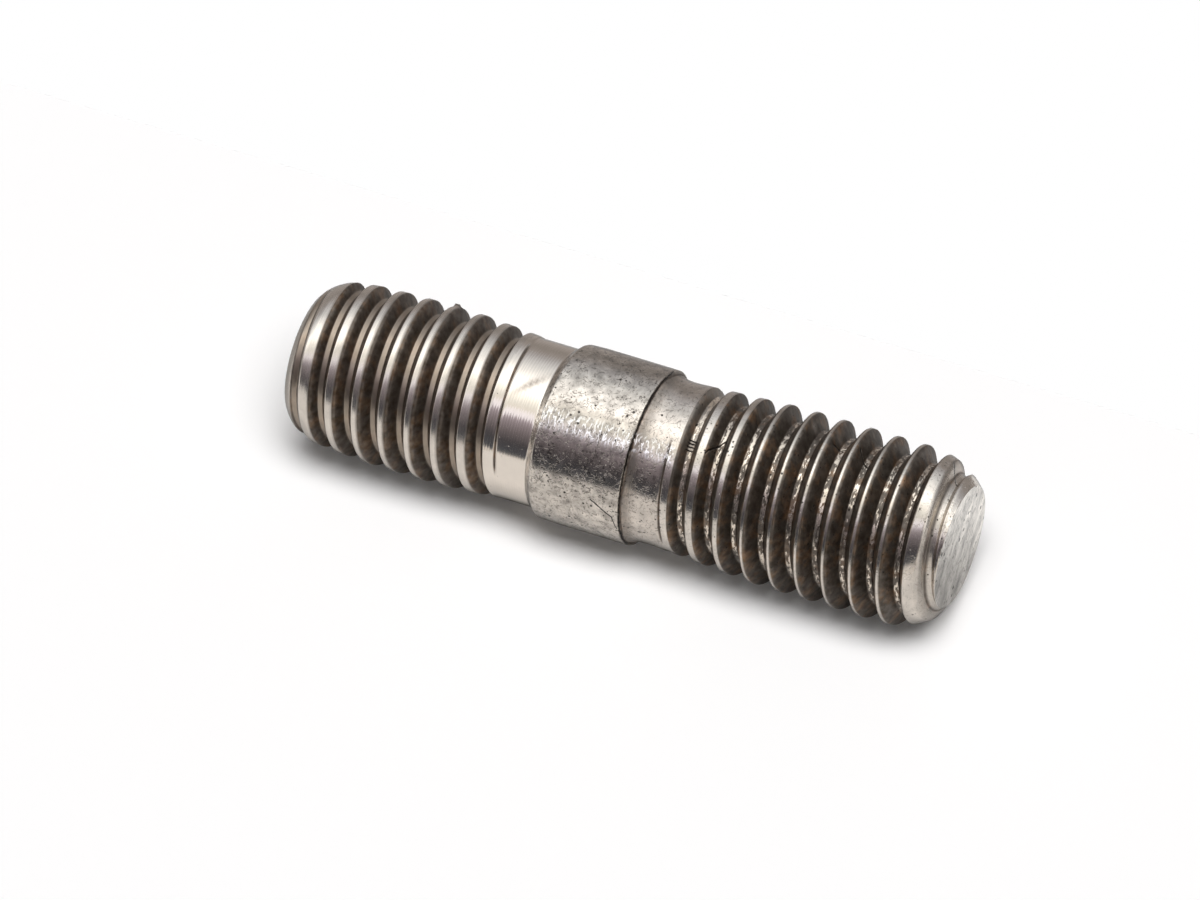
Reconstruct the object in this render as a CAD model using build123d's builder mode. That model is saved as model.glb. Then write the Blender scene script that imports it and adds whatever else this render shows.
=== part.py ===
from build123d import *
import math
import os

# Stud bolt, M8 x 1.25 at both ends, turned and thread-rolled from one steel bar.
# The axis is +Z and the origin is the centre of the lower end face.
# All dimensions are in millimetres, and radii are measured from the axis.

# Thread form shared by both ends
PITCH = 1.25
FLANK_ANGLE = 30.0  # from the plane across the axis
GROOVE_CLEARANCE = 0.12  # how far the cutting profile stands out past the crests
RUNOUT_CLEARANCE = 0.05  # how far a run-out or run-in root rises clear of the plain metal

# Lower thread: rolled with wide, rounded, not quite filled crests
LOWER_CREST_R = 3.81
LOWER_ROOT_R = 3.27
LOWER_ROOT_FLAT = 0.24
LOWER_PHASE = 0.815  # height of the groove on the +X side, less whole turns
LOWER_TURNS = 8
LOWER_RUNOUT_TURNS = 0.7

# Upper thread: sharper crests and a deeper root
UPPER_CREST_R = 3.93
UPPER_ROOT_R = 3.26
UPPER_ROOT_FLAT = 0.26
UPPER_PHASE = 0.236
UPPER_TURNS = 9
UPPER_FIRST_TURN = 14  # whole turns below the start of the upper run-in

# Ends
LENGTH = 30.4
LOWER_FACE_R = 2.86
UPPER_FACE_R = 2.85

# Bevels that round off the two points, as radius and height
LOWER_POINT = [(3.25, 0.4), (3.54, 0.9)]
UPPER_POINT = [(3.93, 27.9), (3.8, 28.9), (3.42, 29.7)]

# Slow tapers of the crests, as radius and height
LOWER_FIRST_CREST = (3.73, 2.2)
LOWER_FULL_FROM = 4.0
LOWER_FULL_TO = 7.1
LOWER_LAST_CREST = (3.625, 9.66)
UPPER_FULL_FROM = 22.0

# Plain shank between the lower thread and the collar: the rolling blank
SHANK_R = 3.565
SHANK_START = 10.03

# Collar: the full bar diameter
COLLAR_R = 3.94
COLLAR_START = 11.7
COLLAR_CHAMFER_H = 0.36
COLLAR_CHAMFER_R = 3.9
COLLAR_EASE_H = 0.8  # the collar eases up to its full radius above the chamfer
COLLAR_END = 16.2

# Shoulder and neck between the collar and the upper thread
SHOULDER_H = 0.22
SHOULDER_R = 3.72
NECK_R = 3.62
NECK_START = 16.95
NECK_END = 17.2


def tangent_middle(radius, level, far_radius, far_level):
    """Middle point of the arc that leaves (radius, level) along the axis and ends at the far point."""
    reach = far_level - level
    drop = radius - far_radius
    arc_radius = (reach**2 + drop**2) / (2 * drop)
    across = math.copysign(math.sqrt(arc_radius**2 - (reach / 2) ** 2), arc_radius)
    return (radius - arc_radius + across, level + reach / 2)


def groove_outline(root_flat, depth):
    """Corners of the groove's section, with x away from the axis and y along the thread's height."""
    half_root = root_flat / 2
    half_mouth = half_root + depth * math.tan(math.radians(FLANK_ANGLE))
    return [(0, -half_root), (0, half_root), (depth, half_mouth), (depth, -half_mouth)]


def cut_groove(start, turns, root_r, root_flat, depth, cone_angle=0.0):
    """Roll one stretch of right-hand groove, from the +X side at height start."""
    with BuildLine() as path:
        Helix(PITCH, turns * PITCH, root_r, center=(0, 0, start), cone_angle=cone_angle)
    root_line = path.edge()
    origin = root_line @ 0
    section_plane = Plane(origin, x_dir=(origin.X, origin.Y, 0), z_dir=root_line % 0)
    with BuildSketch(section_plane) as section:
        with BuildLine():
            Polyline(groove_outline(root_flat, depth), close=True)
        make_face()
    sweep(section.sketch, path=root_line, is_frenet=True, mode=Mode.SUBTRACT)


with BuildPart() as stud:
    # The turned outline, from the lower face up to the upper one, with its seam away from the +X side
    with BuildSketch(Plane.YZ):
        with BuildLine():
            collar_edge = COLLAR_START + COLLAR_CHAMFER_H
            shoulder_foot = COLLAR_END + SHOULDER_H
            Polyline(
                (0, LENGTH),
                (0, 0),
                (LOWER_FACE_R, 0),
                *LOWER_POINT,
                LOWER_FIRST_CREST,
                (LOWER_CREST_R, LOWER_FULL_FROM),
                (LOWER_CREST_R, LOWER_FULL_TO),
                LOWER_LAST_CREST,
                (SHANK_R, SHANK_START),
                (SHANK_R, COLLAR_START),
                (COLLAR_CHAMFER_R, collar_edge),
                (COLLAR_R, collar_edge + COLLAR_EASE_H),
                (COLLAR_R, COLLAR_END),
                (SHOULDER_R, shoulder_foot),
            )
            ThreePointArc(
                (SHOULDER_R, shoulder_foot),
                tangent_middle(NECK_R, NECK_START, SHOULDER_R, shoulder_foot),
                (NECK_R, NECK_START),
            )
            Polyline(
                (NECK_R, NECK_START),
                (NECK_R, NECK_END),
                (UPPER_CREST_R, UPPER_FULL_FROM),
                *UPPER_POINT,
                (UPPER_FACE_R, LENGTH),
                (0, LENGTH),
            )
        make_face()
    revolve(axis=Axis.Z)

    # Lower thread: whole turns up from below the end face, one stretch for each
    lower_depth = LOWER_CREST_R - LOWER_ROOT_R + GROOVE_CLEARANCE
    lower_start = LOWER_PHASE - PITCH
    for turn in range(LOWER_TURNS):
        cut_groove(lower_start + turn * PITCH, 1, LOWER_ROOT_R, LOWER_ROOT_FLAT, lower_depth)

    # Its run-out: the root climbs out of the shank on a cone
    climb = SHANK_R - LOWER_ROOT_R + RUNOUT_CLEARANCE
    lower_runout_angle = math.degrees(math.atan(climb / (LOWER_RUNOUT_TURNS * PITCH)))
    cut_groove(
        lower_start + LOWER_TURNS * PITCH,
        LOWER_RUNOUT_TURNS,
        LOWER_ROOT_R,
        LOWER_ROOT_FLAT,
        lower_depth,
        lower_runout_angle,
    )

    # Upper thread: the run-in sinks from the neck to full depth within one turn
    upper_depth = UPPER_CREST_R - UPPER_ROOT_R + GROOVE_CLEARANCE
    upper_start = UPPER_PHASE + UPPER_FIRST_TURN * PITCH
    sink = NECK_R - UPPER_ROOT_R + RUNOUT_CLEARANCE
    upper_runin_angle = -math.degrees(math.atan(sink / PITCH))
    cut_groove(
        upper_start, 1, UPPER_ROOT_R + sink, UPPER_ROOT_FLAT, upper_depth, upper_runin_angle
    )
    for turn in range(1, UPPER_TURNS + 1):
        cut_groove(upper_start + turn * PITCH, 1, UPPER_ROOT_R, UPPER_ROOT_FLAT, upper_depth)

stud.part.label = "stud"
os.makedirs("parts", exist_ok=True)
export_step(stud.part, "parts/stud.step")
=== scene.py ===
"""A worn steel stud bolt: a rolled thread at each end, a plain shank and a full-width collar between them.

The surface is worked out as a flat blank, a grid of angle along X, height along Y and radius along Z.
Geometry Nodes roll that blank up round the axis. Lengths inside the classes are millimetres and angles
are degrees from the front (-Y) towards +X, unless a name says otherwise. Lengths become metres where a
mesh, a material or a lamp takes them.
"""
import logging
import math
from dataclasses import dataclass, field
from enum import Enum

import bpy
import numpy as np
from bpy.types import ID, ColorRamp, Material, Node, NodeSocket, NodeTree, Object, World
from mathutils import Matrix, Vector


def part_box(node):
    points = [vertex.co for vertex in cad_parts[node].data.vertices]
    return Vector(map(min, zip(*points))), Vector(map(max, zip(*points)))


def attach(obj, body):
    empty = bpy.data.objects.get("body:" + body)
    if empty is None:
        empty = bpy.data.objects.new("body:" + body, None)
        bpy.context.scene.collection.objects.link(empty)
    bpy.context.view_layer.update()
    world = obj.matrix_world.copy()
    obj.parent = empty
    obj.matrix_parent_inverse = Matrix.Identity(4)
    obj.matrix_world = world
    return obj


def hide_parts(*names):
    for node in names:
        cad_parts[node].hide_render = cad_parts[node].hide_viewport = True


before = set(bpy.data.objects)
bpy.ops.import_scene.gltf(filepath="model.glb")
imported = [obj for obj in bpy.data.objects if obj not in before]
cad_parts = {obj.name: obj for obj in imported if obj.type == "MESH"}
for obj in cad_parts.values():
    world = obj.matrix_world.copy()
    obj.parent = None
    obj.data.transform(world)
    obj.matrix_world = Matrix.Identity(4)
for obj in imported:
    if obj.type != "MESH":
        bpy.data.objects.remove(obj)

MM = 0.001  # one millimetre, in metres
MICRON = 1e-6  # one micrometre, in metres
UP = Vector((0.0, 0.0, 1.0))
OUT_OF_REACH = 1.0  # lifts a groove clear of the stud where it doesn't cut
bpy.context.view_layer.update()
NODE = "stud"
BODY = "root"

log = logging.getLogger("stud")


# --- Small helpers ---


def linear(hex_colour: str) -> tuple[float, float, float, float]:
    """Turn an sRGB hex colour into the linear colour that the shaders take.

    Args:
        hex_colour: Six hex digits, such as "c8beb4".

    Returns:
        Red, green, blue and an alpha of one.
    """
    channels = [int(hex_colour[i : i + 2], 16) / 255 for i in (0, 2, 4)]
    return (*(c / 12.92 if c <= 0.04045 else ((c + 0.055) / 1.055) ** 2.4 for c in channels), 1.0)


def per_metre(size_mm: float) -> float:
    """The texture scale that gives features of this size on Object coordinates in metres."""
    return 1.0 / (size_mm * MM)


def smooth(value: np.ndarray, low: float, high: float) -> np.ndarray:
    """Ease from 0 at low to 1 at high."""
    t = np.clip((value - low) / (high - low), 0.0, 1.0)
    return t * t * (3.0 - 2.0 * t)


def soft_min(first: np.ndarray, second: np.ndarray, blend: float) -> np.ndarray:
    """The lower of two surfaces, rounded over where they cross.

    Args:
        first: Radii of one surface.
        second: Radii of the other.
        blend: Difference in radius, in millimetres, within which the edge is rounded.

    Returns:
        The rounded lower radii.
    """
    near = np.clip(blend - np.abs(first - second), 0.0, None) / blend
    return np.minimum(first, second) - near * near * blend / 4.0


def add(tree: NodeTree, kind: str, *firsts: object, **values: object) -> Node:
    """Add a node with its settings, input values and links.

    Args:
        tree: The tree that takes the node.
        kind: The node's type, where "Bump" stands for "ShaderNodeBump", and its operation if it has one,
            such as "Math ADD".
        firsts: The first inputs. An input takes a value, a socket, or a node, which stands for the
            first output that it has in use.
        values: Settings under their own lower-case names, and further inputs under their labels, with
            underscores for spaces, or by position, such as in_6.

    Returns:
        The new node.
    """
    kind, _, operation = kind.partition(" ")
    node = tree.nodes.new(kind if "Node" in kind else f"ShaderNode{kind}")
    if operation:
        node.operation = operation
    inputs = {f"in_{number}": value for number, value in enumerate(firsts)}
    for name, value in values.items():
        if name.startswith("in_") or name[0].isupper():
            inputs[name] = value
        else:
            setattr(node, name, value)
    for name, value in inputs.items():
        socket = node.inputs[int(name[3:]) if name.startswith("in_") else name.replace("_", " ")]
        if isinstance(value, Node):
            value = next(output for output in value.outputs if output.enabled)
        if isinstance(value, NodeSocket):
            tree.links.new(value, socket)
        else:
            socket.default_value = value
    return node


def empty_tree(owner: Material | World) -> NodeTree:
    """Give a material or world a node tree with nothing in it.

    Args:
        owner: The new material or world.

    Returns:
        Its empty tree.
    """
    owner.use_nodes = True
    owner.node_tree.nodes.clear()
    return owner.node_tree


def stand(name: str, data: ID) -> Object:
    """Make an object and link it to the scene.

    Args:
        name: The object's name.
        data: Its mesh, lamp or camera.

    Returns:
        The object.
    """
    made = bpy.data.objects.new(name, data)
    bpy.context.scene.collection.objects.link(made)
    return made


# --- The surface of the stud ---


class Zone(Enum):
    """The stretches of the stud, by how their surface was made."""

    LOWER_THREAD = 0
    SHANK = 1
    COLLAR = 2
    NECK = 3
    UPPER_THREAD = 4
    END_FACE = 5


@dataclass(frozen=True)
class ThreadGroove:
    """One right-hand rolled groove, which runs out or in at its inner end.

    The groove's winding angle is 0 where its centre passes the front at centre_height, and it grows
    by a whole turn for each pitch upwards.
    """

    centre_height: float
    root_radius: float
    root_flat: float
    crest_blend: float  # difference in radius within which the crests' edges are rounded
    full_depth_winding: float  # winding angle where the groove is at full depth
    no_depth_winding: float  # winding angle where it has run out
    fold_offset: float  # how far along the axis the rolled-over fold lies from the run-out's centre
    fold_range: tuple[float, float]  # winding angles between which that fold shows
    dirt_over: tuple[float, float]  # how far dirt laps over the crest below and the crest above
    dirt_fade: tuple[float, float]  # over what distance it thins out past there
    root_band: tuple[float, float]  # shares of the root's width over which its shine fades out
    rows: tuple[float, ...]  # shares of the pitch, from the groove's centre, at which the mesh has rows
    pitch: float = 1.25
    flank_angle: float = 30.0
    shallow_root_radius: float = 3.63
    lead_depth: float = 0.0  # how deep the groove still is where the point falls below the root
    least_depth: float = 0.02  # share of full depth below which it doesn't cut
    dirty_depth: tuple[float, float] = (0.1, 0.5)  # shares of full depth over which it starts to hold dirt
    dirt_inside: float = 0.02  # how far inside its mouth the dirt starts to thin out
    clean_from: float = 1000.0  # height above which it has been wiped, but for a line by the root's middle
    clean_over: float = 0.7  # height over which the wiping starts
    clean_loss: float = 0.85  # share of the dirt that has been wiped off
    line_cover: float = 0.9
    line_drop: float = 0.4  # how far below the root's middle that line lies, as a share of its width
    line_width: float = 0.045
    fresh_range: tuple[float, float] | None = None  # winding angles over which its first turn gets dirty
    fresh_loss: float = 0.4  # share of the dirt missing there
    fresh_shine: float = 9.0
    fold_half_width: float = 0.07
    fold_depth: float = 0.07
    fold_taper: float = 12.0  # winding angle over which the fold starts and stops

    def winding(self, angle: np.ndarray, height: np.ndarray) -> tuple[np.ndarray, np.ndarray]:
        """Find the nearest turn of the groove.

        Args:
            angle: Angles about the axis from the front, in radians.
            height: Heights in millimetres.

        Returns:
            The winding angle in degrees, and the distance along the axis from the groove's centre.
        """
        turn = angle / (2 * math.pi)
        nearest = np.round((height - self.centre_height) / self.pitch - turn)
        offset = height - self.centre_height - self.pitch * (nearest + turn)
        return (nearest + turn) * 360.0, offset

    def depth_share(self, winding: np.ndarray) -> np.ndarray:
        """How deep the groove is along its run-out or run-in.

        Args:
            winding: Winding angles in degrees.

        Returns:
            Shares of full depth, from 0 where the groove has run out to 1 on the thread.
        """
        low, high = sorted((self.no_depth_winding, self.full_depth_winding))
        share = smooth(winding, low, high)
        return share if self.full_depth_winding > self.no_depth_winding else 1.0 - share

    def roll(
        self, angle: np.ndarray, height: np.ndarray, outline: np.ndarray
    ) -> tuple[np.ndarray, np.ndarray, np.ndarray]:
        """Roll the groove into the turned outline.

        Args:
            angle: Angles about the axis from the front, in radians.
            height: Heights in millimetres.
            outline: The turned outline's radii there.

        Returns:
            Radii of the groove's walls and root, out of reach where it doesn't cut, the cover of the
            dirt that it holds from 0 to 1, and how much its root shines: 1 on the thread and more on
            a fresh first turn.
        """
        winding, offset = self.winding(angle, height)
        share = self.depth_share(winding)
        offset = offset - self.fold_offset * (1.0 - share)
        root = self.root_radius + (1.0 - share) * (self.shallow_root_radius - self.root_radius)
        root = np.minimum(root, outline - self.lead_depth) if self.lead_depth else root
        slope = math.tan(math.radians(self.flank_angle))
        wall = np.clip(np.abs(offset) - share * self.root_flat / 2, 0.0, None)
        cut = root + wall / slope
        past_mouth = (cut - outline) * slope
        over, fade = (np.where(offset < 0, *sides) for sides in (self.dirt_over, self.dirt_fade))
        held = 1.0 - smooth(past_mouth, over - self.dirt_inside, over + fade)
        dirt = held * smooth(share, *self.dirty_depth)
        shine = 1.0 - smooth(np.abs(offset) / self.root_flat, *self.root_band)
        fresh = 1.0 - smooth(winding, *self.fresh_range) if self.fresh_range else 0.0
        clean = smooth(height, self.clean_from, self.clean_from + self.clean_over)
        below = offset + self.line_drop * self.root_flat
        line = self.line_cover * np.exp(-((below / self.line_width) ** 2))
        dirt = dirt * (1.0 - self.fresh_loss * fresh) * (1.0 - self.clean_loss * clean) + line * clean
        shine = shine * share * (1.0 + self.fresh_shine * fresh) * (1.0 - clean)
        return np.where(share > self.least_depth, cut, cut + OUT_OF_REACH), dirt, shine

    def fold(self, angle: np.ndarray, height: np.ndarray) -> np.ndarray:
        """Find the fold that the rolls leave past the groove's end.

        Args:
            angle: Angles about the axis from the front, in radians.
            height: Heights in millimetres.

        Returns:
            The fold's strength, from 0 to 1.
        """
        winding, offset = self.winding(angle, height)
        across = 1.0 - np.clip(np.abs(offset - self.fold_offset) / self.fold_half_width, 0.0, 1.0)
        low, high = self.fold_range
        ends = 1.0 - smooth(winding, high - self.fold_taper, high)
        return across * smooth(winding, low, low + self.fold_taper) * ends


LOWER_GROOVE = ThreadGroove(
    centre_height=5.502, root_radius=3.27, root_flat=0.24, crest_blend=0.1, full_depth_winding=1170,
    no_depth_winding=1430, fold_offset=-0.38, fold_range=(1376, 1490), dirt_over=(0.08, 0.02),
    dirt_fade=(0.1, 0.01), root_band=(0.4, 0.62),
    rows=(0.06, 0.09, 0.105, 0.13, 0.2, 0.262, 0.285, 0.304, 0.324, 0.34, 0.36, 0.385, 0.43),
)
UPPER_GROOVE = ThreadGroove(
    centre_height=18.675, root_radius=3.26, root_flat=0.26, crest_blend=0.08, full_depth_winding=-40,
    no_depth_winding=-300, fold_offset=0.42, fold_range=(-378, -290), dirt_over=(0.07, 0.05),
    dirt_fade=(0.03, 0.01), root_band=(0.28, 0.5),
    rows=(0.065, 0.095, 0.112, 0.135, 0.2, 0.275, 0.318, 0.345, 0.372, 0.397, 0.413, 0.43, 0.46),
    lead_depth=0.34, clean_from=29.0, fresh_range=(-150, 60),
)


@dataclass(frozen=True)
class Mark:
    """A dent, burr or smear: a smooth bump of the given size, turned on the surface."""

    angle: float
    height: float
    along: float  # half length
    across: float  # half width
    rise: float  # out of the surface, or into it where it is negative
    turned: float = 0.0  # from the axis to the mark's length
    film: float = 0.0  # dirt that it holds, or sheds where it is negative

    def weight(self, angle: np.ndarray, height: np.ndarray, radius: float) -> np.ndarray:
        """How strongly the mark acts at each point.

        Args:
            angle: Angles about the axis from the front, in radians.
            height: Heights in millimetres.
            radius: Radius that turns angles into distances.

        Returns:
            Weights from 0 to 1.
        """
        away = np.mod(angle - math.radians(self.angle) + math.pi, 2 * math.pi) - math.pi
        round_it = away * radius
        up = height - self.height
        turn = math.radians(self.turned)
        length = up * math.cos(turn) + round_it * math.sin(turn)
        width = round_it * math.cos(turn) - up * math.sin(turn)
        return np.exp(-((length / self.along) ** 2) - (width / self.across) ** 2)


@dataclass
class StudSurface:
    """The stud's whole outer surface, as a radius over angle and height."""

    length: float
    collar_radius: float
    marks: tuple[Mark, ...] = ()
    lower_groove: ThreadGroove = LOWER_GROOVE
    upper_groove: ThreadGroove = UPPER_GROOVE
    lower_face_radius: float = 2.86
    upper_face_radius: float = 2.85
    shank_radius: float = 3.565
    neck_radius: float = 3.62
    lower_end: float = 10.03
    collar_start: float = 11.7
    collar_end: float = 16.2
    neck_start: float = 16.95
    upper_start: float = 17.2
    upper_full_from: float = 22.0
    point_height: float = 2.5
    point_steps: int = 12
    edge_softness: float = 0.018
    crease_height: float = 0.07  # the crease under the collar's rolled edge, above collar_end, darkened with painted shade
    crease_wander: float = 0.035
    crease_size: float = 0.05  # its depth and its half width
    shoulder_film_and_shade: float = 0.6  # cover of the darker band between the crease and the neck, partly film and partly painted shade
    fold_film: float = 2.2  # how readily the film fills a fold

    def outline_points(self) -> list[tuple[float, float]]:
        """List the corners of the turned outline.

        Returns:
            Heights and radii, from the lower face to the upper.
        """
        collar = self.collar_radius
        full = collar - 0.01
        drop = full - self.upper_face_radius
        arc_radius = (self.point_height**2 + drop**2) / (2 * drop)
        point_start = self.length - self.point_height
        rises = [self.point_height * (step + 1) / self.point_steps for step in range(self.point_steps)]
        point = [(point_start + r, full - arc_radius + math.sqrt(arc_radius**2 - r**2)) for r in rises]
        start, end = self.collar_start, self.collar_end
        return [
            (0.0, self.lower_face_radius),
            (0.12, 3.02),
            (0.27, 3.17),
            (0.45, 3.30),
            (0.66, 3.42),
            (0.9, 3.53),
            (1.3, 3.635),
            (2.2, 3.73),
            (4.0, 3.81),
            (7.1, 3.81),
            (9.66, 3.625),
            (self.lower_end, self.shank_radius),
            (start, self.shank_radius),
            (start + 0.34, collar - 0.05),
            (start + 0.42, collar - 0.03),
            (start + 1.1, collar),
            (end, collar - 0.01),
            (end + 0.04, collar - 0.04),
            (end + 0.08, collar - 0.16),
            (end + 0.22, collar - 0.235),
            (end + 0.42, collar - 0.29),
            (self.neck_start, self.neck_radius),
            (self.upper_start, self.neck_radius),
            (self.upper_full_from, full),
            (point_start, full),
            *point,
        ]

    def outline(self, height: np.ndarray) -> np.ndarray:
        """The turned outline, with its edges broken by a few hundredths of a millimetre.

        Args:
            height: Heights in millimetres.

        Returns:
            The outline's radii there.
        """
        heights, radii = np.array(self.outline_points()).T
        taps = ((-2, 0.1), (-1, 0.2), (0, 0.4), (1, 0.2), (2, 0.1))
        return sum(w * np.interp(height + tap * self.edge_softness, heights, radii) for tap, w in taps)

    def crease(self, angle: np.ndarray, height: np.ndarray) -> np.ndarray:
        """Find the crease that the turning tool left under the collar's edge.

        Args:
            angle: Angles about the axis from the front, in radians.
            height: Heights in millimetres.

        Returns:
            The crease's strength, from 0 to 1.
        """
        wander = 0.6 * np.sin(3 * angle + 0.7) + 0.4 * np.sin(8 * angle)
        middle = self.collar_end + self.crease_height + self.crease_wander * wander
        return np.exp(-(((height - middle) / self.crease_size) ** 2))

    def evaluate(self, angle: np.ndarray, height: np.ndarray) -> tuple[np.ndarray, np.ndarray, np.ndarray]:
        """Work out the surface.

        Args:
            angle: Angles about the axis from the front, in radians.
            height: Heights in millimetres.

        Returns:
            Radii in millimetres, the cover of the dark film held in the grooves and of the painted shade in
            the collar's crease, from 0 to 1, and how much each point shines as a groove's root.
        """
        outline = self.outline(height)
        middle = (self.collar_start + self.collar_end) / 2
        radius = outline.copy()
        film = np.zeros_like(outline)
        root = np.zeros_like(outline)
        for groove, part in ((self.lower_groove, height < middle), (self.upper_groove, height >= middle)):
            cut, dirt, shine = groove.roll(angle, height, outline)
            fold = np.where(part, groove.fold(angle, height), 0.0)
            radius = soft_min(radius, np.where(part, cut, outline + OUT_OF_REACH), groove.crest_blend)
            radius = radius - fold * groove.fold_depth
            film = np.maximum(film, np.where(part, dirt, 0.0))
            film = np.maximum(film, np.clip(self.fold_film * fold, 0.0, 1.0))
            root = np.where(part, shine, root)
        # the crease is cut into the radius, and its strength also goes into the film cover as painted shade
        crease = self.crease(angle, height)
        radius = radius - self.crease_size * crease
        shoulder = smooth(height, self.collar_end, self.collar_end + 0.1)
        shoulder = shoulder * (1.0 - smooth(height, self.collar_end + 0.15, self.neck_start))
        # the crease's painted shade, and the band down to the neck, partly film and partly painted shade
        film = np.maximum(film, np.maximum(crease, self.shoulder_film_and_shade * shoulder))
        for mark in self.marks:
            weight = mark.weight(angle, height, self.collar_radius)
            radius = radius + mark.rise * weight
            film = film + mark.film * weight
        return np.minimum(radius, self.collar_radius), np.clip(film, 0.0, 1.0), root


# --- From the surface to a mesh ---


@dataclass
class RollUpNodes:
    """Geometry Nodes that roll the flat blank up round the axis and give its zones their steels."""

    roll_radius: float
    ripple_height: float = 0.006
    ripple_size: float = 0.55
    seed: int = 7

    def build(self, steels: dict[Zone, Material]) -> NodeTree:
        """Build the tree.

        Args:
            steels: The material of each zone.

        Returns:
            The tree, whose inputs are the blank and the sizes that roll it up.
        """
        tree = bpy.data.node_groups.new("roll_up_blank", "GeometryNodeTree")
        tree.interface.new_socket("Blank", in_out="INPUT", socket_type="NodeSocketGeometry")
        for name in self.sizes():
            tree.interface.new_socket(name, in_out="INPUT", socket_type="NodeSocketFloat")
        tree.interface.new_socket("Stud", in_out="OUTPUT", socket_type="NodeSocketGeometry")
        given = add(tree, "NodeGroupInput").outputs
        flat = add(tree, "SeparateXYZ", Vector=add(tree, "GeometryNodeInputPosition")).outputs
        angle = add(tree, "Math DIVIDE", flat["X"], given["Roll radius"])
        across = add(tree, "Math SINE", angle)
        forward = add(tree, "Math COSINE", angle)
        away = add(tree, "Math MULTIPLY", forward, -1.0)
        outward = add(tree, "CombineXYZ", X=across, Y=away)
        lift = add(tree, "CombineXYZ", Z=flat["Y"])
        round_it = add(tree, "VectorMath SCALE", outward, Scale=flat["Z"])
        rolled = add(tree, "VectorMath ADD", round_it, lift)
        often = add(tree, "Math DIVIDE", 1.0, given["Ripple size"])
        noise = add(
            tree, "TexNoise", noise_dimensions="4D", Vector=rolled, W=given["Seed"], Scale=often, Detail=2.0
        )
        ripple = add(tree, "Math MULTIPLY", noise, given["Ripple height"])
        inward = add(tree, "Math MULTIPLY", ripple, -1.0)
        worn = add(tree, "VectorMath SCALE", outward, Scale=inward)
        placed = add(tree, "GeometryNodeSetPosition", Geometry=given["Blank"], Position=rolled, Offset=worn)
        shaded = add(tree, "GeometryNodeSetShadeSmooth", Geometry=placed)
        geometry = add(tree, "GeometryNodeRealizeInstances", Geometry=shaded)
        number = add(tree, "GeometryNodeInputNamedAttribute", data_type="INT", Name="zone")
        for zone, steel in steels.items():
            chosen = add(tree, "FunctionNodeCompare EQUAL", data_type="INT", in_2=number, in_3=zone.value)
            geometry = add(
                tree, "GeometryNodeSetMaterial", Geometry=geometry, Selection=chosen, Material=steel
            )
        add(tree, "NodeGroupOutput", geometry)
        return tree

    def sizes(self) -> dict[str, float]:
        """The tree's number inputs.

        Returns:
            Values by name, with lengths in metres.
        """
        return {
            "Roll radius": self.roll_radius * MM,
            "Ripple height": self.ripple_height * MM,
            "Ripple size": self.ripple_size * MM,
            "Seed": float(self.seed),
        }

    def apply(self, blank: Object, tree: NodeTree, name: str) -> Object:
        """Roll the blank up and keep the result as a plain mesh.

        Args:
            blank: The flat blank's object.
            tree: The tree from build.
            name: The finished piece's name.

        Returns:
            The finished piece.
        """
        modifier = blank.modifiers.new("roll up", "NODES")
        modifier.node_group = tree
        values = self.sizes()
        for item in tree.interface.items_tree:
            if item.in_out == "INPUT" and item.name in values:
                modifier[item.identifier] = values[item.name]
        graph = bpy.context.evaluated_depsgraph_get()
        mesh = bpy.data.meshes.new_from_object(blank.evaluated_get(graph), depsgraph=graph)
        mesh.name = name
        bpy.data.objects.remove(blank)
        return stand(name, mesh)


@dataclass
class Grid:
    """Vertices and faces as they are laid out, with the corners that fall together merged."""

    columns: int
    vertices: list[tuple[float, float, float]] = field(default_factory=list)
    faces: list[tuple[int, ...]] = field(default_factory=list)
    known: dict[tuple[int, int, int], int] = field(default_factory=dict)

    def vertex(self, column: int, height: float, share: float = 1.0) -> int:
        """The vertex of a column, made when it is first asked for.

        Args:
            column: Column number, counted from the front.
            height: Height in millimetres.
            share: Share of the full radius there.

        Returns:
            The vertex's number.
        """
        key = (column, round(height * 1e5), round(share * 1e5))
        if key not in self.known:
            self.known[key] = len(self.vertices)
            self.vertices.append((2 * math.pi * column / self.columns, height, share))
        return self.known[key]

    def face(self, *corners: int) -> None:
        """Keep a face if three of its corners are still apart.

        Args:
            corners: The vertices' numbers, in order round the face.
        """
        kept = [corner for i, corner in enumerate(corners) if corner != corners[i - 1]]
        if len(kept) >= 3:
            self.faces.append(tuple(kept))

    def block(self, rows: np.ndarray, low: float, high: float, rise: float, rows_per_turn: int) -> None:
        """Lay rows side by side all the way round.

        Args:
            rows: The rows' heights at the front.
            low: Height at which lower rows are cut off.
            high: Height at which higher rows are cut off.
            rise: How much a row climbs in one turn.
            rows_per_turn: How many rows there are in that rise.
        """
        last = len(rows) - 1
        for column in range(self.columns):
            after = (column + 1) % self.columns
            here = np.clip(rows + rise * column / self.columns, low, high)
            there = np.clip(rows + rise * after / self.columns, low, high)
            step = rows_per_turn if after == 0 else 0
            for row in range(last):
                foot, head = (min(r + step, last) for r in (row, row + 1))
                self.face(
                    self.vertex(column, here[row]), self.vertex(after, there[foot]),
                    self.vertex(after, there[head]), self.vertex(column, here[row + 1]),
                )

    def cap(self, height: float, upward: bool, rings: int) -> None:
        """Close an end with rings and a fan.

        Args:
            height: The end face's height.
            upward: Whether it faces up.
            rings: How many rings it has.
        """
        shares = [1.0, *(0.985 * (1 - k / rings) for k in range(rings)), 0.0]
        for outer, inner in zip(shares, shares[1:]):
            for column in range(self.columns):
                after = (column + 1) % self.columns
                ring = [
                    self.vertex(column, height, outer),
                    self.vertex(after, height, outer),
                    self.vertex(after if inner else 0, height, inner),
                    self.vertex(column if inner else 0, height, inner),
                ]
                self.face(*(ring if upward else reversed(ring)))


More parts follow.
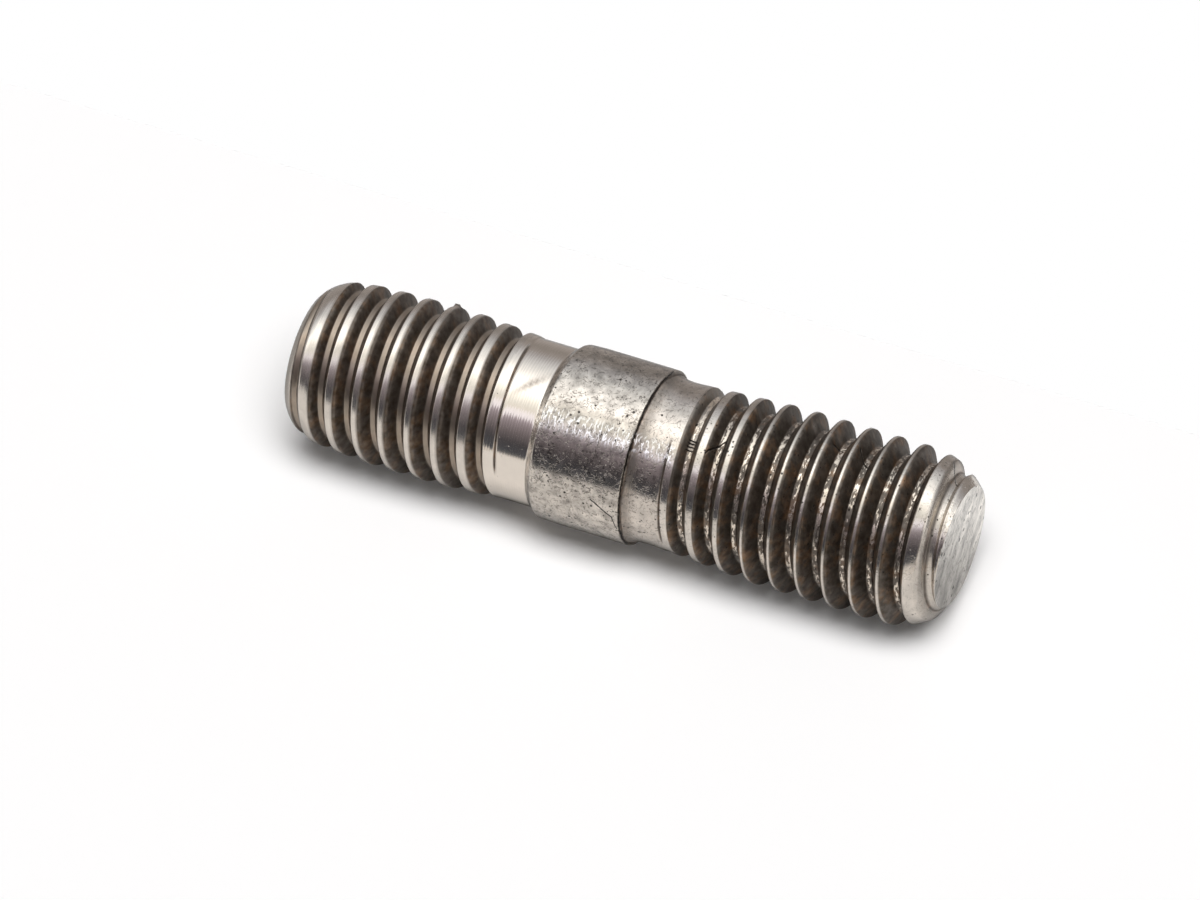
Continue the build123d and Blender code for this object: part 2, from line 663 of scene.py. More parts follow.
@dataclass
class StudMesh:
    """The blank: rows that follow the thread's helix, and level rows on the plain middle."""

    surface: StudSurface
    columns: int = 160
    face_rings: int = 5
    lower_turned: float = 10.75  # height where the helical rows give way to level ones
    upper_turned: float = 17.25  # height where they start again
    level_spacing: float = 0.2
    edge_steps: tuple[float, ...] = (-0.09, -0.05, -0.02, 0.01, 0.035, 0.06)  # rows close to an edge
    edge_gap: float = 0.12  # how far the evenly spaced rows stay from it

    @staticmethod
    def helical_rows(groove: ThreadGroove, low: float, high: float) -> np.ndarray:
        """Place rows that follow a groove and cover a stretch of the stud all the way round.

        Args:
            groove: The groove whose flanks and root the rows follow.
            low: Lowest height to cover.
            high: Highest height to cover.

        Returns:
            The rows' heights at the front in millimetres, from one turn below low.
        """
        shares = sorted([0.0, 0.5, *groove.rows, *(1.0 - s for s in groove.rows)])
        first = math.floor((low - groove.centre_height) / groove.pitch) - 1
        last = math.ceil((high - groove.centre_height) / groove.pitch) + 1
        turns = range(first, last)
        return np.array([groove.centre_height + groove.pitch * (n + s) for n in turns for s in shares])

    def level_rows(self) -> np.ndarray:
        """Place the level rows on the shank, the collar and the neck, close together at the edges.

        Returns:
            The rows' heights in millimetres.
        """
        start, end = self.surface.collar_start, self.surface.collar_end
        edges = [start, start + 0.38, end + 0.02, end + 0.12]
        near = [edge + step for edge in edges for step in self.edge_steps]
        low, high = self.lower_turned + self.level_spacing, self.upper_turned - 0.1
        even = np.arange(low, high, self.level_spacing)
        kept = [h for h in even if min(abs(h - edge) for edge in edges) > self.edge_gap]
        return np.array(sorted([self.lower_turned, *near, *kept, end + 0.22, self.upper_turned]))

    def zone(self, level: float, share: float) -> Zone:
        """Tell which zone a face is in.

        Args:
            level: The face's mean height.
            share: The least share of the full radius at its corners.

        Returns:
            The zone.
        """
        s = self.surface
        if share < 1.0:
            return Zone.END_FACE
        tops = (
            (s.lower_end - 0.35, Zone.LOWER_THREAD),
            (s.collar_start + 0.01, Zone.SHANK),
            (s.collar_end + 0.05, Zone.COLLAR),
            (s.upper_start + 0.9, Zone.NECK),
        )
        return next((zone for top, zone in tops if level < top), Zone.UPPER_THREAD)

    def build(self) -> Object:
        """Make the flat blank, with its film, root and zone attributes.

        Returns:
            The blank's object.
        """
        s = self.surface
        grid = Grid(self.columns)
        threads = ((s.lower_groove, 0.0, self.lower_turned), (s.upper_groove, self.upper_turned, s.length))
        for groove, low, high in threads:
            rows = self.helical_rows(groove, low, high)
            grid.block(rows, low, high, groove.pitch, 2 + 2 * len(groove.rows))
        grid.block(self.level_rows(), self.lower_turned, self.upper_turned, 0.0, 0)
        grid.cap(0.0, False, self.face_rings)
        grid.cap(s.length, True, self.face_rings)
        angle, height, share = np.array(grid.vertices).T
        radius, film, root = s.evaluate(angle, height)
        points = np.stack([angle * s.collar_radius, height, radius * share], 1) * MM
        mesh = bpy.data.meshes.new("blank")
        mesh.from_pydata(points.tolist(), [], grid.faces)
        # the film attribute also carries the painted shade along the collar's crease
        for name, values in (("film", np.where(share < 1.0, 0.0, film)), ("root", root)):
            mesh.attributes.new(name, "FLOAT", "POINT").data.foreach_set("value", values.astype(np.float32))
        zones = [self.zone(height[list(face)].mean(), share[list(face)].min()).value for face in grid.faces]
        mesh.attributes.new("zone", "INT", "FACE").data.foreach_set("value", zones)
        return stand("blank", mesh)


# --- Finishes ---


@dataclass(frozen=True)
class Ground:
    """What a finish is laid on: its node tree, and where each point of the stud lies, in metres."""

    tree: NodeTree
    place: NodeSocket  # Object coordinates
    dragged: Node  # the same, with X shortened by the finish's drag
    unrolled: Node  # distance round the stud from the front, and height
    drawn: Node  # the same, with the distance shortened, for marks drawn out round the stud

    @classmethod
    def lay(cls, tree: NodeTree, radius: float, drag: float, draw: float) -> "Ground":
        """Add the nodes that tell where a point lies.

        Args:
            tree: The finish's tree.
            radius: Radius that turns angles into distances.
            drag: How many times longer dragged features are along X.
            draw: How many times longer drawn features are round the stud.

        Returns:
            The ground.
        """
        place = add(tree, "TexCoord").outputs["Object"]
        spot = add(tree, "SeparateXYZ", Vector=place).outputs
        front = add(tree, "Math MULTIPLY", spot["Y"], -1.0)
        angle = add(tree, "Math ARCTAN2", spot["X"], front)
        round_it = add(tree, "Math MULTIPLY", angle, radius * MM)
        unrolled = add(tree, "CombineXYZ", X=round_it, Y=spot["Z"])
        dragged, drawn = (
            add(tree, "VectorMath MULTIPLY", where, (1.0 / times, 1.0, 1.0))
            for where, times in ((place, drag), (unrolled, draw))
        )
        return cls(tree, place, dragged, unrolled, drawn)


@dataclass(frozen=True)
class Lap:
    """A dark line along a short straight stretch of the unrolled surface; folds and scratches, and the
    painted shade along the collar's crease, are drawn with it.
    """

    start: tuple[float, float]  # angle and height
    end: tuple[float, float]
    width: float = 0.05

    def build(self, tree: NodeTree, unrolled: Node, radius: float) -> Node:
        """Add the nodes that find the lap.

        Args:
            tree: The tree that takes the nodes.
            unrolled: Distance round the stud and height, in metres.
            radius: Radius that turns angles into distances.

        Returns:
            A node whose value is 1 in the middle of the lap and 0 away from it.
        """
        ends = (self.start, self.end)
        first, last = (Vector((math.radians(a) * radius * MM, h * MM, 0.0)) for a, h in ends)
        run = last - first
        reach = add(tree, "VectorMath SUBTRACT", unrolled, first)
        slope = run / run.length_squared
        along = add(tree, "VectorMath DOT_PRODUCT", reach, slope)
        share = add(tree, "Clamp", Value=along.outputs["Value"])
        nearest = add(tree, "VectorMath SCALE", run, Scale=share)
        gap = add(tree, "VectorMath DISTANCE", reach, nearest).outputs["Value"]
        return add(
            tree, "MapRange", interpolation_type="SMOOTHSTEP", Value=gap, From_Max=self.width * MM,
            To_Min=1.0, To_Max=0.0,
        )


@dataclass(frozen=True)
class SteelFinish:
    """Bare alloy steel, by how its surface was made and what has worn it."""

    name: str
    mean_radius: float = 3.8
    steel: str = "d6cdc2"  # clean metal, a little warm
    roughness: float = 0.2
    stain: float = 0.12
    stain_size: float = 0.5  # cloudy staining
    drag: float = 1.0  # how many times longer stains and scratches are along X
    draw: float = 1.0 / 0.35  # how many times longer flecks and strokes are round the stud

    # Old oil and dust, dried brown in the grooves and rubbed off their roots
    film: str = "36291d"
    film_light: str = "684b2e"  # where it is thin, amber
    film_cover: float = 0.95
    film_size: float = 0.3  # patches where it is worn
    film_roughness: float = 0.45
    root_steel_and_glint: str = "a8927a"  # metal on a groove's root, tinted by the film; on the upper thread brighter than clean steel, for painted glints
    root_shine: float = 0.5  # how much of it shows
    root_glint_flecks: float = 0.0  # how much more shows in bright flecks drawn out along the root, which are painted glints
    fleck_size: float = 0.12
    fleck_patch_size: float = 1.6  # stretches with more flecks or fewer

    # Short curling scratches, and a band of bright strokes along the stud near the front, which are painted
    # glints
    scratch_size: float = 0.27
    scratch_gap_size: float = 0.22
    scratch_depth: float = 0.0  # micrometres
    scratch_stain: float = 0.35  # dirt that they hold
    scratch_dirt: str = "3a332c"
    painted_glint: float = 0.0  # how bright the painted glint strokes are
    # colour of the painted glint strokes, whiter than the clean steel
    painted_glint_steel: str = "fffdfa"
    painted_glint_middle: float = -0.36  # distance of the painted glints' band round the stud from the front
    painted_glint_reach: tuple[float, float] = (0.2, 0.62)  # distances from there over which it ends
    stroke_size: float = 0.095

    # Relief, with heights in micrometres
    turning_pitch: float = 0.125
    turning_height: float = 0.0
    turning_wander_size: float = 0.2
    grain_size: float = 0.2
    grain_height: float = 0.0
    hole_depth: float = 30.0
    # colour of pits and laps, and of the painted shade along the collar's crease
    pit_lap_and_crease_shade_colour: str = "1a1613"
    pit_spacing: float = 0.23
    pit_reach: float = 0.0  # radius of the largest pit, as a share of the spacing
    laps: tuple[Lap, ...] = ()
    lap_wander: float = 0.08
    lap_wander_size: float = 0.25

    def build(self) -> Material:
        """Make the material.

        Returns:
            A node material on Object coordinates.
        """
        material = bpy.data.materials.new(self.name)
        tree = empty_tree(material)
        ground = Ground.lay(tree, self.mean_radius, self.drag, self.draw)
        bare_and_glints = self._bare_and_glints(ground)
        film = self._film(ground, bare_and_glints)
        holes = self._holes(ground)
        scratches = self._scratches(ground)
        cloud = add(
            tree, "TexNoise", Vector=ground.dragged, Scale=per_metre(self.stain_size), Detail=4.0,
            Roughness=0.62,
        )
        shade = add(tree, "MapRange", Value=cloud, From_Min=0.32, From_Max=0.66, To_Min=1.0 - self.stain)
        colour = add(
            tree, "Mix", data_type="RGBA", blend_type="MULTIPLY", in_0=1.0, in_6=linear(self.steel),
            in_7=shade,
        )
        thin = add(tree, "MapRange", Value=cloud, From_Min=0.48, From_Max=0.72)
        dirt = add(
            tree, "Mix", data_type="RGBA", in_0=thin, in_6=linear(self.film), in_7=linear(self.film_light)
        )
        held = add(tree, "Math MULTIPLY", scratches, self.scratch_stain)
        for cover, over in (
            # metal rubbed bare on the roots, with flecks of painted glints
            (bare_and_glints, linear(self.root_steel_and_glint)),
            (film, dirt),
            (held, linear(self.scratch_dirt)),
            # painted highlight: the band of glint strokes
            (self._painted_glints(ground), linear(self.painted_glint_steel)),
            # pits and laps, with the painted shade along the collar's crease
            (holes, linear(self.pit_lap_and_crease_shade_colour)),
        ):
            colour = add(tree, "Mix", data_type="RGBA", in_0=cover, in_6=colour, in_7=over)
        metallic = add(tree, "MapRange", Value=film, To_Min=1.0, To_Max=0.85)
        rough = add(tree, "MapRange", Value=film, To_Min=self.roughness, To_Max=self.film_roughness)
        height = self._height(ground, film, holes, scratches)
        bump = add(tree, "Bump", Strength=1.0, Distance=1.0, Height=height)
        steel = add(
            tree, "BsdfPrincipled", Base_Color=colour, Metallic=metallic, Roughness=rough, Normal=bump
        )
        add(tree, "OutputMaterial", Surface=steel)
        return material

    def _bare_and_glints(self, ground: Ground) -> Node:
        """How much metal shows through the film on a groove's root, with flecks of brighter metal that are
        painted glints.

        Args:
            ground: What the finish is laid on.

        Returns:
            Share from 0 to 1.
        """
        tree = ground.tree
        root = add(tree, "Attribute", attribute_name="root").outputs["Fac"]
        glint_flecks = add(
            tree, "TexNoise", Vector=ground.drawn, Scale=per_metre(self.fleck_size), Detail=4.0,
            Roughness=0.6,
        )
        size = per_metre(self.fleck_patch_size)
        patches = add(tree, "TexNoise", Vector=ground.unrolled, Scale=size, Detail=1.0)
        uneven = add(tree, "Math MULTIPLY_ADD", patches, 0.4, glint_flecks)
        torn_and_glinting = add(
            tree, "MapRange", interpolation_type="SMOOTHSTEP", Value=uneven, From_Min=0.7, From_Max=0.77,
            To_Min=self.root_shine, To_Max=self.root_shine + self.root_glint_flecks,
        )
        return add(tree, "Math MULTIPLY", torn_and_glinting, root, use_clamp=True)

    def _film(self, ground: Ground, bare_and_glints: Node) -> Node:
        """The film's cover: what the grooves hold, rubbed off their roots, with the painted shade in the
        collar's crease.

        Args:
            ground: What the finish is laid on.
            bare_and_glints: Share of metal that shows through on a root, with its flecks of painted glint.

        Returns:
            Cover from 0 to 1.
        """
        tree = ground.tree
        cover = add(tree, "Attribute", attribute_name="film").outputs["Fac"]
        patches = add(tree, "TexNoise", Vector=ground.place, Scale=per_metre(self.film_size), Detail=5.0)
        worn = add(tree, "MapRange", Value=patches, From_Min=0.35, From_Max=0.7, To_Min=1.0, To_Max=0.85)
        covered = add(tree, "Math SUBTRACT", 1.0, bare_and_glints)
        for share in (covered, worn, self.film_cover):
            cover = add(tree, "Math MULTIPLY", cover, share)
        return cover

    def _holes(self, ground: Ground) -> Node:
        """Small round corrosion pits of uneven size, and laps, among them the painted shade along the
        collar's crease.

        Args:
            ground: What the finish is laid on.

        Returns:
            Cover from 0 to 1.
        """
        tree = ground.tree
        cells = add(tree, "TexVoronoi", Vector=ground.place, Scale=per_metre(self.pit_spacing)).outputs
        chance = add(tree, "SeparateColor", Color=cells["Color"])
        size = add(tree, "Math POWER", chance, 1.3)
        reach = add(tree, "Math MULTIPLY", size, self.pit_reach)
        inside = add(tree, "Math SUBTRACT", reach, cells["Distance"])
        holes = add(
            tree, "MapRange", interpolation_type="SMOOTHSTEP", Value=inside, From_Max=0.08, To_Max=0.9
        )
        if self.laps:
            size = per_metre(self.lap_wander_size)
            wander = add(tree, "TexNoise", Vector=ground.place, Scale=size, Detail=2.0).outputs["Color"]
            most = self.lap_wander * MM
            shaken = add(tree, "VectorMath MULTIPLY_ADD", wander, (most, most, 0.0), ground.unrolled)
            for lap in self.laps:
                found = lap.build(tree, shaken, self.mean_radius)
                holes = add(tree, "Math MAXIMUM", holes, found)
        return holes

    def _scratches(self, ground: Ground) -> Node:
        """Short curling scratches: the lines where a noise crosses its middle, broken up by another.

        Args:
            ground: What the finish is laid on.

        Returns:
            Cover from 0 to 1, or nothing but 0 on a finish with no scratches.
        """
        tree = ground.tree
        size = per_metre(self.scratch_size)
        curls = add(tree, "TexNoise", Vector=ground.dragged, Scale=size, Detail=1.0, Distortion=1.4)
        middle = add(tree, "Math SUBTRACT", curls, 0.5)
        off_line = add(tree, "Math ABSOLUTE", middle)
        line = add(tree, "MapRange", Value=off_line, From_Max=0.05, To_Min=1.0, To_Max=0.0)
        size = per_metre(self.scratch_gap_size)
        gaps = add(tree, "TexNoise", Vector=ground.dragged, Scale=size, Detail=1.0)
        most = 1.0 if self.scratch_depth else 0.0
        shown = add(tree, "MapRange", Value=gaps, From_Min=0.41, From_Max=0.52, To_Max=most)
        return add(tree, "Math MULTIPLY", line, shown)

    def _painted_glints(self, ground: Ground) -> Node:
        """Painted highlight: short bright strokes round the stud, in a band along it near the front, that
        stand in for glints.

        Args:
            ground: What the finish is laid on.

        Returns:
            Share from 0 to 1.
        """
        tree = ground.tree
        spot = add(tree, "SeparateXYZ", Vector=ground.unrolled).outputs["X"]
        away = add(tree, "Math SUBTRACT", spot, self.painted_glint_middle * MM)
        away = add(tree, "Math ABSOLUTE", away)
        near, far = (reach * MM for reach in self.painted_glint_reach)
        band = add(
            tree, "MapRange", interpolation_type="SMOOTHSTEP", Value=away, From_Min=near, From_Max=far,
            To_Min=self.painted_glint, To_Max=0.0,
        )
        size = per_metre(self.stroke_size)
        strokes = add(tree, "TexNoise", Vector=ground.drawn, Scale=size, Detail=1.0, Distortion=0.8)
        shown = add(tree, "MapRange", Value=strokes, From_Min=0.51, From_Max=0.6)
        return add(tree, "Math MULTIPLY", band, shown)

    def _turning(self, ground: Ground) -> Node:
        """Fine rings that the turning tool left, a little uneven.

        Args:
            ground: What the finish is laid on.

        Returns:
            Height from -1 to 1.
        """
        tree = ground.tree
        level = add(tree, "SeparateXYZ", Vector=ground.place).outputs["Z"]
        squeezed = add(tree, "VectorMath MULTIPLY", ground.place, (0.05, 0.05, 1.0))
        size = per_metre(self.turning_wander_size)
        uneven = add(tree, "TexNoise", Vector=squeezed, Scale=size, Detail=2.0)
        drift = add(tree, "Math MULTIPLY", uneven, 9.0)
        turns = 2 * math.pi * per_metre(self.turning_pitch)
        phase = add(tree, "Math MULTIPLY_ADD", level, turns, drift)
        return add(tree, "Math SINE", phase)

    def _grain(self, ground: Ground, film: Node) -> Node:
        """The dried film's coarse grain, faint on clean metal.

        Args:
            ground: What the finish is laid on.
            film: Cover of the film.

        Returns:
            Height from 0 to 1.
        """
        tree = ground.tree
        size = per_metre(self.grain_size)
        grain = add(tree, "TexNoise", Vector=ground.place, Scale=size, Detail=5.0, Roughness=0.6)
        rough = add(tree, "MapRange", Value=film, To_Min=0.12, To_Max=1.0)
        return add(tree, "Math MULTIPLY", grain, rough)

    def _height(self, ground: Ground, film: Node, holes: Node, scratches: Node) -> Node:
        """Holes, scratches, turning marks and grain added up.

        Args:
            ground: What the finish is laid on.
            film: Cover of the film.
            holes: Cover of the pits and laps.
            scratches: Cover of the scratches.

        Returns:
            The height in metres.
        """
        reliefs = [(holes, -self.hole_depth), (scratches, -self.scratch_depth)]
        if self.turning_height:
            reliefs.append((self._turning(ground), self.turning_height))
        if self.grain_height:
            reliefs.append((self._grain(ground, film), self.grain_height))
        total = 0.0
        for relief, most in reliefs:
            total = add(ground.tree, "Math MULTIPLY_ADD", relief, most * MICRON, total)
        return total


# dark lines along the crease under the collar's edge: painted shade
CREASE_SHADE_LAPS = (
    Lap((-76.0, 16.25), (-62.0, 16.27), 0.035),
    Lap((-62.0, 16.27), (14.0, 16.28), 0.06),
    Lap((14.0, 16.28), (90.0, 16.26), 0.045),
)
COLLAR_LAPS = (Lap((39.9, 14.98), (49.4, 15.96), 0.04), Lap((49.4, 15.96), (60.0, 16.16), 0.04))
THREAD_LAPS = (
    *(Lap((angle, 18.5), (angle, 18.72), 0.055) for angle in (-12.0, -15.0, -17.6, -20.0)),
    Lap((-11.9, 19.46), (-21.0, 19.75)),
    Lap((-21.0, 19.75), (-27.8, 19.99)),
    Lap((-47.8, 24.44), (-56.3, 24.99), 0.06),
    Lap((-49.9, 25.64), (-42.3, 26.09), 0.06),
    Lap((-42.3, 26.09), (-42.1, 26.3), 0.06),
    Lap((-74.6, 29.33), (-59.4, 29.88)),
)

FINISHES = {
    # Thread rolled between dies: burnished crests that mirror the room, dry brown film on the flanks.
    Zone.LOWER_THREAD: SteelFinish(
        "rolled_thread_steel", roughness=0.22, stain=0.16, stain_size=0.75, root_shine=0.55,
        turning_height=0.5, grain_height=2.5,
    ),
    # The rolling blank between thread and collar: ground bright, with fine marks round it.
    Zone.SHANK: SteelFinish(
        "ground_shank_steel", steel="ddd3c7", roughness=0.12, stain=0.06, turning_height=1.2, pit_reach=0.12
    ),
    # Drawn bar, tumbled and handled: a dull sheen broken by short curling scratches and pits, with a band
    # of painted glints near the front and painted shade along the crease under its edge.
    Zone.COLLAR: SteelFinish(
        "tumbled_collar_steel", steel="d4cbc0", roughness=0.17, stain=0.52, scratch_depth=4.0,
        scratch_stain=0.8, painted_glint=0.8, grain_height=12.0, pit_reach=0.28, laps=COLLAR_LAPS + CREASE_SHADE_LAPS,
    ),
    # The turned neck: the collar's wear, smoother, with the same band of painted glints and painted shade
    # along the crease.
    Zone.NECK: SteelFinish(
        "turned_neck_steel", steel="d2c8bd", roughness=0.18, stain=0.28, root_shine=0.6, scratch_depth=3.5,
        scratch_stain=0.6, painted_glint=0.75, turning_height=0.5, pit_reach=0.26, laps=CREASE_SHADE_LAPS,
    ),
    # The oily thread: thin bright crests over mottled brown flanks, and roots rubbed bare with flecks of
    # painted glints.
    Zone.UPPER_THREAD: SteelFinish(
        "oiled_thread_steel", roughness=0.17, stain=0.2, stain_size=0.75, film="34291e",
        film_light="74522f", root_steel_and_glint="e8dac8", root_shine=0.06, root_glint_flecks=0.86, scratch_depth=1.2,
        grain_height=8.5, pit_reach=0.24, laps=THREAD_LAPS,
    ),
    # Cropped and faced ends: pale grey, with drag marks across them.
    Zone.END_FACE: SteelFinish(
        "faced_end_steel", steel="fbf6ee", roughness=0.24, stain=0.6, drag=2.2, scratch_depth=7.0,
        scratch_size=0.5, scratch_stain=0.5, pit_spacing=0.4, pit_reach=0.3,
    ),
}


@dataclass(frozen=True)
class PaperFinish:
    """Matt white paper that takes a soft shadow, with a painted shade, seen only in reflections, that
    darkens it where the stud is close.
    """

    name: str = "white_paper"
    paper: str = "fbfafa"
    glow: float = 0.035  # brings the paper up to white for the camera alone
    shade_beside: tuple[float, float, float] = (1.5, 8.0, 0.4)  # distances next to the stud over which the painted shade fades out, and how bright it is at its darkest
    behind: tuple[float, float, float] = (0.5, 5.0, 0.42)  # the same painted shade past the stud's upper end
    behind_over: float = 2.0  # height over which one takes over from the other

    def build(self, along: Vector, top: float) -> Material:
        """Make the paper.

        Args:
            along: Direction on the table away from the stud, on the camera's side.
            top: Height of the stud's upper end, in metres.

        Returns:
            The paper's material.
        """
        material = bpy.data.materials.new(self.name)
        tree = empty_tree(material)
        ray = add(tree, "LightPath").outputs
        place = add(tree, "TexCoord").outputs["Object"]
        out = add(tree, "VectorMath DOT_PRODUCT", place, along).outputs["Value"]
        off = add(tree, "Math ABSOLUTE", out)
        # painted shade near the stud, which only reflections show
        shade_beside, behind = (
            add(
                tree, "MapRange", interpolation_type="SMOOTHSTEP", Value=distance, From_Min=near * MM,
                From_Max=far * MM, To_Min=least,
            )
            for distance, (near, far, least) in ((out, self.shade_beside), (off, self.behind))
        )
        level = add(tree, "SeparateXYZ", Vector=place).outputs["Z"]
        past = add(tree, "MapRange", Value=level, From_Min=top - self.behind_over * MM, From_Max=top)
        behind = add(tree, "Math MULTIPLY", behind, past)
        # painted shade: the paper as reflections see it, darker near the stud
        painted_reflected_shade = add(tree, "Math MAXIMUM", shade_beside, behind)
        seen = add(tree, "Mix", data_type="FLOAT", in_0=ray["Is Glossy Ray"], in_2=1.0, in_3=painted_reflected_shade)
        white = add(
            tree, "Mix", data_type="RGBA", blend_type="MULTIPLY", in_0=1.0, in_6=linear(self.paper),
            in_7=seen,
        )
        matt = add(tree, "BsdfDiffuse", Color=white)
        lift = add(tree, "Math MULTIPLY", ray["Is Camera Ray"], self.glow)
        shine = add(tree, "Emission", Strength=lift)
        front = add(tree, "AddShader", matt, shine)
        clear = add(tree, "BsdfTransparent")
        back = add(tree, "NewGeometry").outputs["Backfacing"]
        shown = add(tree, "MixShader", back, front, clear)
        add(tree, "OutputMaterial", Surface=shown)
        return material


# --- The stud and its studio ---


@dataclass
class StudBolt:
    """The whole part: one solid, one finished piece."""

    name: str = "stud_bolt"
    clearance: float = 0.003  # by which it stays inside the CAD solid's box
    marks: tuple[Mark, ...] = (
        Mark(-88, 5.72, 0.16, 0.12, 0.2, film=1.0),  # burr torn up on a lower crest
        Mark(-60, 19.44, 0.1, 0.22, -0.07, film=0.5),  # knocks on the upper crests
        Mark(-62, 20.75, 0.12, 0.2, -0.06, film=-0.5),
        Mark(-58, 22.0, 0.1, 0.25, -0.07, film=0.4),
        Mark(-64, 23.15, 0.1, 0.2, -0.05, film=-0.6),
        Mark(-60, 24.4, 0.12, 0.25, -0.08, film=-0.5),
        Mark(-65, 29.15, 0.18, 0.35, -0.05, film=-0.8),
        Mark(-25, 10.95, 0.75, 0.16, 0.0, -50, film=0.75),  # grey smear across the shank
    )

    def build(self) -> Object:
        """Make the finished stud in the place of its CAD node.

        Returns:
            The finished piece.
        """
        low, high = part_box(NODE)
        radius = min(high.x, -low.x, high.y, -low.y) / MM - self.clearance
        surface = StudSurface((high.z - low.z) / MM, radius, self.marks)
        blank = StudMesh(surface).build()
        steels = {zone: finish.build() for zone, finish in FINISHES.items()}
        rolling = RollUpNodes(surface.collar_radius)
        stud = rolling.apply(blank, rolling.build(steels), self.name)
        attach(stud, BODY)
        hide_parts(NODE)
        return stud


@dataclass
class Studio:
    """A pale table that the stud lies against, a tent of light with dark gaps, and the camera."""

    table_angle: float = -32.8  # direction that the table faces
    table_size: float = 900.0
    table_back: float = 14.0  # how far it goes on behind the stud, where the tent's wall takes over
    key_angle: float = -23.5  # direction of the key light
    key_spread: float = 26.0
    key_heights: tuple[float, ...] = (2.0, 12.0, 24.0)  # above the level
    key_share: float = 0.9  # of white paper's brightness
    fill_share: float = 0.1
    band_slant: float = 0.3  # how far the tent's gaps lean with height
    strip_top: float = 3.0  # brightness that the strips are shares of
    strip_slope: float = 17.3  # height at which they are measured, below the level
    sensor: float = 36.0
    lens: float = 277.8
    view_distance: float = 397.9
    view_height: float = 17.3496  # angle above the level from which the camera looks down
    view_roll: float = 106.8211  # lays the stud across the view
    view_target: float = 0.81  # how far above the stud's middle it looks
    view_shift: tuple[float, float] = (-2.149, 0.288)  # how far it stands to its own right and up

    # Strips of the tent by direction: how bright each is, in red, green and blue.
    strips: tuple[tuple[float, tuple[float, float, float]], ...] = (
        (-180, (0.40, 0.37, 0.35)),
        (-144, (0.42, 0.39, 0.38)),
        (-126, (0.33, 0.31, 0.30)),
        (-112, (0.39, 0.37, 0.37)),
        (-101, (0.53, 0.54, 0.58)),
        (-90, (0.77, 0.80, 0.86)),
        (-81, (0.95, 1.0, 1.06)),
        (-72, (1.2, 1.25, 1.3)),
        (-66, (1.45, 1.5, 1.55)),
        (-58, (1.75, 1.8, 1.85)),
        (-50, (2.1, 2.15, 2.2)),
        (-42, (2.3, 2.35, 2.4)),
        (-36, (2.0, 2.0, 2.0)),
        (-29, (1.65, 1.65, 1.6)),
        (-20, (1.17, 1.2, 1.18)),
        (-12, (1.08, 1.06, 1.0)),
        (-9, (1.3, 1.3, 1.4)),
        (-1, (1.3, 1.3, 1.45)),
        (2, (0.55, 0.5, 0.58)),
        (8, (0.37, 0.33, 0.38)),
        (22, (0.2, 0.18, 0.2)),
        (37, (0.08, 0.078, 0.09)),
        (55, (0.09, 0.1, 0.12)),
        (59, (0.9, 0.87, 0.84)),
    )

    def build(self) -> None:
        """Set up the table, the light and the camera."""
        self.table()
        self.world()
        self.key_lights()
        self.camera()
        bpy.context.scene.view_settings.view_transform = "Standard"

    @staticmethod
    def facing(angle: float) -> Vector:
        """The level direction at this angle from the front."""
        return Vector((math.sin(math.radians(angle)), -math.cos(math.radians(angle)), 0.0))

    def table(self) -> None:
        """Lay the table's top, seen only from above, against the stud's side."""
        low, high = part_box(NODE)
        normal = self.facing(self.table_angle)
        along = UP.cross(normal)
        middle = UP * (low.z + high.z) / 2 - normal * (high.x - low.x) / 2
        half = self.table_size * MM / 2
        near = along.dot(self.facing(90.0))
        sides = sorted((half * near, -self.table_back * MM * near))
        ends = ((sides[0], -half), (sides[1], -half), (sides[1], half), (sides[0], half))
        mesh = bpy.data.meshes.new("table_top")
        mesh.from_pydata([tuple(middle + along * i + UP * j) for i, j in ends], [], [(0, 1, 2, 3)])
        if mesh.polygons[0].normal.dot(normal) < 0:
            mesh.flip_normals()
        mesh.materials.append(PaperFinish().build(along * math.copysign(1.0, near), high.z))
        table = stand("table_top", mesh)

    def world(self) -> None:
        """Light from the tent: plain white for the table, strips and dark gaps for the metal to mirror."""
        world = bpy.data.worlds.new("light_tent")
        world.cycles.sampling_method = "NONE"
        bpy.context.scene.world = world
        tree = empty_tree(world)
        place = add(tree, "TexCoord").outputs["Generated"]
        aim = add(tree, "SeparateXYZ", Vector=place).outputs
        front = add(tree, "Math MULTIPLY", aim["Y"], -1.0)
        turn = add(tree, "Math ARCTAN2", aim["X"], front)
        climb = add(tree, "Math ARCSINE", aim["Z"])
        above = add(tree, "Math ADD", climb, math.radians(self.strip_slope))
        leant = add(tree, "Math MULTIPLY_ADD", above, self.band_slant, turn)
        share = add(tree, "MapRange", Value=leant, From_Min=-math.pi, From_Max=math.pi)
        ramp = add(tree, "ValToRGB", Fac=share)
        self.fill_ramp(ramp.color_ramp)
        strips = add(tree, "Background", Color=ramp, Strength=self.strip_top)
        ray = add(tree, "LightPath").outputs
        level = add(tree, "MapRange", Value=ray["Is Camera Ray"], To_Min=self.fill_share, To_Max=1.0)
        white = add(tree, "Background", Color=(1.0, 1.0, 1.0, 1.0), Strength=level)
        lit = add(tree, "MixShader", ray["Is Glossy Ray"], white, strips)
        add(tree, "OutputWorld", Surface=lit)

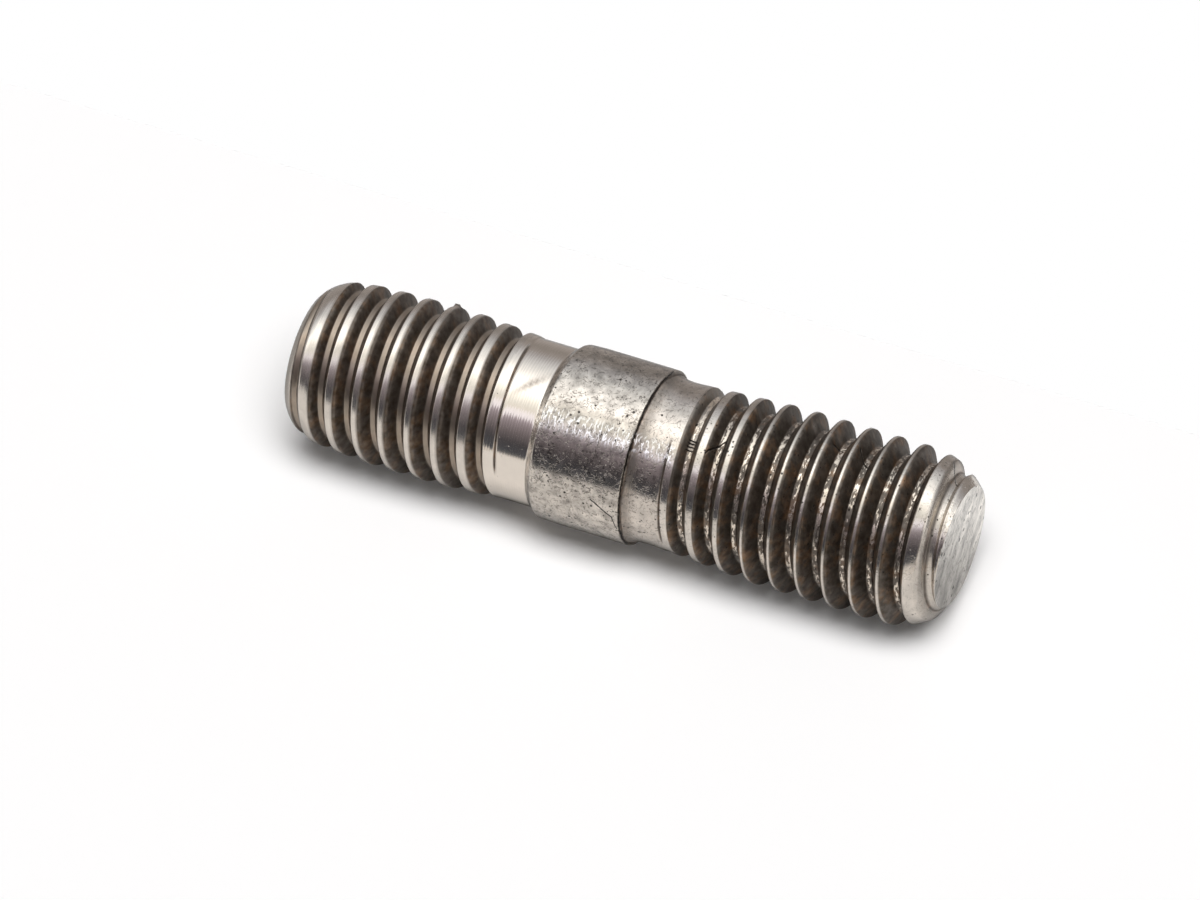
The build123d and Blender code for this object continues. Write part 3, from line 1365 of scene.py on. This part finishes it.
    def fill_ramp(self, ramp: ColorRamp) -> None:
        """Give the ramp the tent's strips.

        Args:
            ramp: A colour ramp over a full turn, from -180 to 180 degrees, as shares of strip_top.
        """
        while len(ramp.elements) > 1:
            ramp.elements.remove(ramp.elements[-1])
        for number, (angle, colour) in enumerate(self.strips):
            where = (angle + 180.0) / 360.0
            element = ramp.elements[0] if number == 0 else ramp.elements.new(where)
            element.position = where
            element.color = (*(c / self.strip_top for c in colour), 1.0)

    def key_lights(self) -> None:
        """A bank of broad, even lamps, long with the stud, that draws the soft shadow under it."""
        for number, height in enumerate(self.key_heights):
            level = math.cos(math.radians(height))
            aim = self.facing(self.key_angle) * level + UP * math.sin(math.radians(height))
            tilt = math.cos(math.radians(self.key_angle - self.table_angle)) * level
            light = bpy.data.lights.new(f"key_light_{number}", "SUN")
            light.angle = math.radians(self.key_spread)
            light.energy = math.pi * self.key_share / len(self.key_heights) / tilt
            lamp = stand(light.name, light)
            lamp.rotation_euler = aim.to_track_quat("Z", "Y").to_euler()
            lamp.visible_glossy = False

    def camera(self) -> None:
        """Place the camera well back in front with a long lens."""
        low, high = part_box(NODE)
        height, roll = math.radians(self.view_height), math.radians(self.view_roll)
        back = self.facing(0.0) * math.cos(height) + UP * math.sin(height)
        level = self.facing(90.0)
        right = level * math.cos(roll) + back.cross(level) * math.sin(roll)
        up = back.cross(right)
        middle = UP * ((low.z + high.z) / 2 + self.view_target * MM)
        aside = right * self.view_shift[0] + up * self.view_shift[1]
        data = bpy.data.cameras.new("camera")
        data.sensor_width = self.sensor
        data.lens = self.lens
        camera = stand("camera", data)
        place = Matrix.Translation(middle + (back * self.view_distance + aside) * MM)
        camera.matrix_world = place @ Matrix((right, up, back)).transposed().to_4x4()
        bpy.context.scene.camera = camera


def main() -> None:
    """Build the stud and its studio."""
    logging.basicConfig(level=logging.INFO, format="%(message)s")
    stud = StudBolt().build()
    log.info("%s: %d faces, %.2f mm long", stud.name, len(stud.data.polygons), stud.dimensions.z / MM)
    Studio().build()
    log.info("studio ready")


if __name__ == "__main__":
    main()
